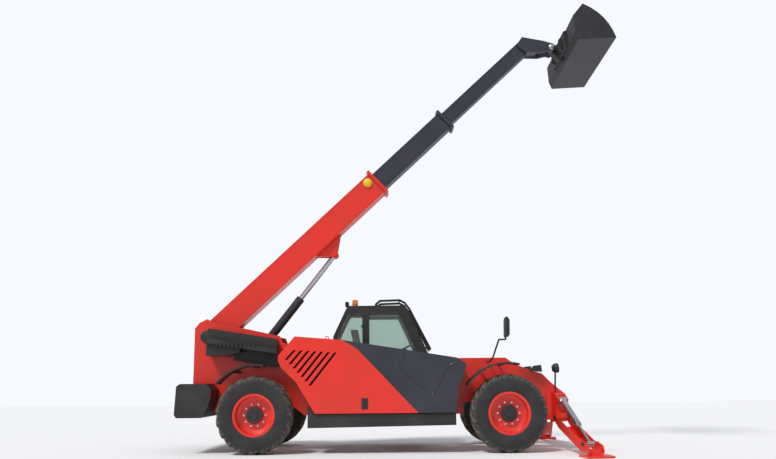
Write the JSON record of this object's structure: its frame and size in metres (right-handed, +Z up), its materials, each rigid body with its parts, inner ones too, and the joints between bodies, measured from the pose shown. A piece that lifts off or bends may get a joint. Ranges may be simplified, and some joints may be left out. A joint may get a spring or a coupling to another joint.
{
  "type": "telehandler",
  "caption": "Telescopic handler with a raised telescoping boom, a wide bucket, a side cab and front stabiliser legs.",
  "frame": {"origin": "middle of the machine's bounding box, at ground level", "axes": "+X forward, +Y to the driver's left, +Z up"},
  "size_m": [7.15, 4.3936, 7.27],
  "materials": {
    "red_paint": "glossy red-orange machine paint",
    "dark_paint": "satin blue-black machine paint",
    "black_paint": "satin black paint and moulded plastic",
    "tyre_rubber": "matt rubber, dusty on the lugs",
    "glass": "pale green safety glass",
    "bright_steel": "ground and plated cylinder steel",
    "amber": "clear orange lens",
    "seat_cover": "black woven seat cover"
  },
  "bodies": {
    "machine": {"chassis_frame": "red_paint", "hydraulic_tank": "red_paint", "counterweight": "black_paint", "side_skirt": "black_paint", "fuel_tank": "black_paint", "engine_block": "black_paint", "cab_frame": "black_paint", "steering_column": "black_paint", "roof_guard": "black_paint", "valve_guard": "black_paint", "mirror_post": "black_paint", "headlamp_left": "black_paint", "headlamp_right": "black_paint", "work_lamp": "black_paint", "front_axle": "black_paint", "rear_axle": "black_paint", "fender_front_left": "black_paint", "fender_front_right": "black_paint", "fender_rear_left": "black_paint", "fender_rear_right": "black_paint", "right_front_glass": "glass", "right_rear_glass": "glass", "left_rear_glass": "glass", "windscreen": "glass", "rear_glass": "glass", "beacon": "amber", "seat": "seat_cover"},
    "cowl": {"cowl_rear_panel": "red_paint", "cowl_front_panel": "dark_paint"},
    "cab_door": {"cab_door": "black_paint", "door_glass": "glass"},
    "boom": {"boom_outer": "red_paint"},
    "boom_middle": {"boom_middle": "dark_paint"},
    "boom_inner": {"boom_inner": "dark_paint"},
    "bucket": {"carriage": "black_paint", "bucket": "dark_paint"},
    "lift_barrel": {"lift_barrel": "black_paint"},
    "lift_rod": {"lift_rod": "bright_steel"},
    "front_left_hub": {"knuckle_front_left": "black_paint"},
    "front_left_wheel": {"tyre_front_left": "tyre_rubber", "rim_front_left": "red_paint"},
    "front_right_hub": {"knuckle_front_right": "black_paint"},
    "front_right_wheel": {"tyre_front_right": "tyre_rubber", "rim_front_right": "red_paint"},
    "rear_left_hub": {"knuckle_rear_left": "black_paint"},
    "rear_left_wheel": {"tyre_rear_left": "tyre_rubber", "rim_rear_left": "red_paint"},
    "rear_right_hub": {"knuckle_rear_right": "black_paint"},
    "rear_right_wheel": {"tyre_rear_right": "tyre_rubber", "rim_rear_right": "red_paint"},
    "stabiliser_left": {"stabiliser_leg_left": "red_paint", "stabiliser_foot_left": "red_paint"},
    "stabiliser_left_barrel": {"stabiliser_left_barrel": "bright_steel"},
    "stabiliser_left_rod": {"stabiliser_left_rod": "bright_steel"},
    "stabiliser_right": {"stabiliser_leg_right": "red_paint", "stabiliser_foot_right": "red_paint"},
    "stabiliser_right_barrel": {"stabiliser_right_barrel": "bright_steel"},
    "stabiliser_right_rod": {"stabiliser_right_rod": "bright_steel"}
  },
  "joints": [
    {"name": "front_left_steer", "type": "hinge", "parent": "machine", "child": "front_left_hub", "pos_m": [1.585, 0.78, 0.589], "axis": [0, 0, 1], "range_deg": [-35, 35]},
    {"name": "front_left_roll", "type": "hinge", "parent": "front_left_hub", "child": "front_left_wheel", "pos_m": [1.585, 0.9975, 0.589], "axis": [0, 1, 0], "continuous": true},
    {"name": "front_right_steer", "type": "hinge", "parent": "machine", "child": "front_right_hub", "pos_m": [1.585, -0.78, 0.589], "axis": [0, 0, 1], "range_deg": [-35, 35]},
    {"name": "front_right_roll", "type": "hinge", "parent": "front_right_hub", "child": "front_right_wheel", "pos_m": [1.585, -0.9975, 0.589], "axis": [0, 1, 0], "continuous": true},
    {"name": "rear_left_steer", "type": "hinge", "parent": "machine", "child": "rear_left_hub", "pos_m": [-2.315, 0.78, 0.589], "axis": [0, 0, 1], "range_deg": [-35, 35]},
    {"name": "rear_left_roll", "type": "hinge", "parent": "rear_left_hub", "child": "rear_left_wheel", "pos_m": [-2.315, 0.9975, 0.589], "axis": [0, 1, 0], "continuous": true},
    {"name": "rear_right_steer", "type": "hinge", "parent": "machine", "child": "rear_right_hub", "pos_m": [-2.315, -0.78, 0.589], "axis": [0, 0, 1], "range_deg": [-35, 35]},
    {"name": "rear_right_roll", "type": "hinge", "parent": "rear_right_hub", "child": "rear_right_wheel", "pos_m": [-2.315, -0.9975, 0.589], "axis": [0, 1, 0], "continuous": true},
    {"name": "cowl_open", "type": "hinge", "parent": "machine", "child": "cowl", "pos_m": [0, -0.366, 1.564], "axis": [-0.9874, 0, 0.158], "range_deg": [0, 60]},
    {"name": "door_open", "type": "hinge", "parent": "machine", "child": "cab_door", "pos_m": [-0.7, 1.188, 1.06], "axis": [0, 0, 1], "range_deg": [0, 100]},
    {"name": "boom_lift", "type": "hinge", "parent": "machine", "child": "boom", "pos_m": [-3.235, 0, 1.83], "axis": [0, -1, 0], "range_deg": [-49, 26]},
    {"name": "boom_extend", "type": "slide", "parent": "boom", "child": "boom_middle", "axis": [0.7278, 0, 0.6858], "range_m": [-0.85, 2]},
    {"name": "inner_extend", "type": "slide", "parent": "boom_middle", "child": "boom_inner", "axis": [0.7278, 0, 0.6858], "range_m": [-0.85, 2]},
    {"name": "bucket_tilt", "type": "hinge", "parent": "boom_inner", "child": "bucket", "pos_m": [2.715, 0, 6.93], "axis": [0, 1, 0], "range_deg": [-58, 76]},
    {"name": "lift_barrel_swing", "type": "hinge", "parent": "machine", "child": "lift_barrel", "pos_m": [-3, 0, 0.86], "axis": [0, -1, 0], "range_deg": [-41, 22]},
    {"name": "lift_rod_slide", "type": "slide", "parent": "lift_barrel", "child": "lift_rod", "axis": [0.6121, 0, 0.7907], "range_m": [-0.74, 0.4]},
    {"name": "stabiliser_left_swing", "type": "hinge", "parent": "machine", "child": "stabiliser_left", "pos_m": [2.475, 0.66, 0.5], "axis": [0.989, -0.1478, 0], "range_deg": [-4, 95]},
    {"name": "stabiliser_left_barrel_swing", "type": "hinge", "parent": "machine", "child": "stabiliser_left_barrel", "pos_m": [2.48475, 0.72528, 0.77], "axis": [0.989, -0.1478, 0], "range_deg": [-4.6, 106]},
    {"name": "stabiliser_left_rod_slide", "type": "slide", "parent": "stabiliser_left_barrel", "child": "stabiliser_left_rod", "axis": [0.129, 0.8632, -0.4881], "range_m": [-0.37, 0.02]},
    {"name": "stabiliser_right_swing", "type": "hinge", "parent": "machine", "child": "stabiliser_right", "pos_m": [2.475, -0.66, 0.5], "axis": [-0.989, -0.1478, 0], "range_deg": [-4, 95]},
    {"name": "stabiliser_right_barrel_swing", "type": "hinge", "parent": "machine", "child": "stabiliser_right_barrel", "pos_m": [2.48475, -0.72528, 0.77], "axis": [-0.989, -0.1478, 0], "range_deg": [-4.6, 106]},
    {"name": "stabiliser_right_rod_slide", "type": "slide", "parent": "stabiliser_right_barrel", "child": "stabiliser_right_rod", "axis": [0.129, -0.8632, -0.4881], "range_m": [-0.37, 0.02]}
  ],
  "couplings": [
    {"joint": "front_right_steer", "follows": "front_left_steer", "ratio": 1},
    {"joint": "rear_right_steer", "follows": "rear_left_steer", "ratio": 1},
    {"joint": "inner_extend", "follows": "boom_extend", "ratio": 1},
    {"joint": "lift_barrel_swing", "follows": "boom_lift", "ratio": 0.83},
    {"joint": "lift_rod_slide", "follows": "boom_lift", "m_per_rad": 0.86},
    {"joint": "stabiliser_left_barrel_swing", "follows": "stabiliser_left_swing", "ratio": 1.11},
    {"joint": "stabiliser_left_rod_slide", "follows": "stabiliser_left_swing", "m_per_rad": -0.22},
    {"joint": "stabiliser_right_barrel_swing", "follows": "stabiliser_right_swing", "ratio": 1.11},
    {"joint": "stabiliser_right_rod_slide", "follows": "stabiliser_right_swing", "m_per_rad": -0.22}
  ]
}
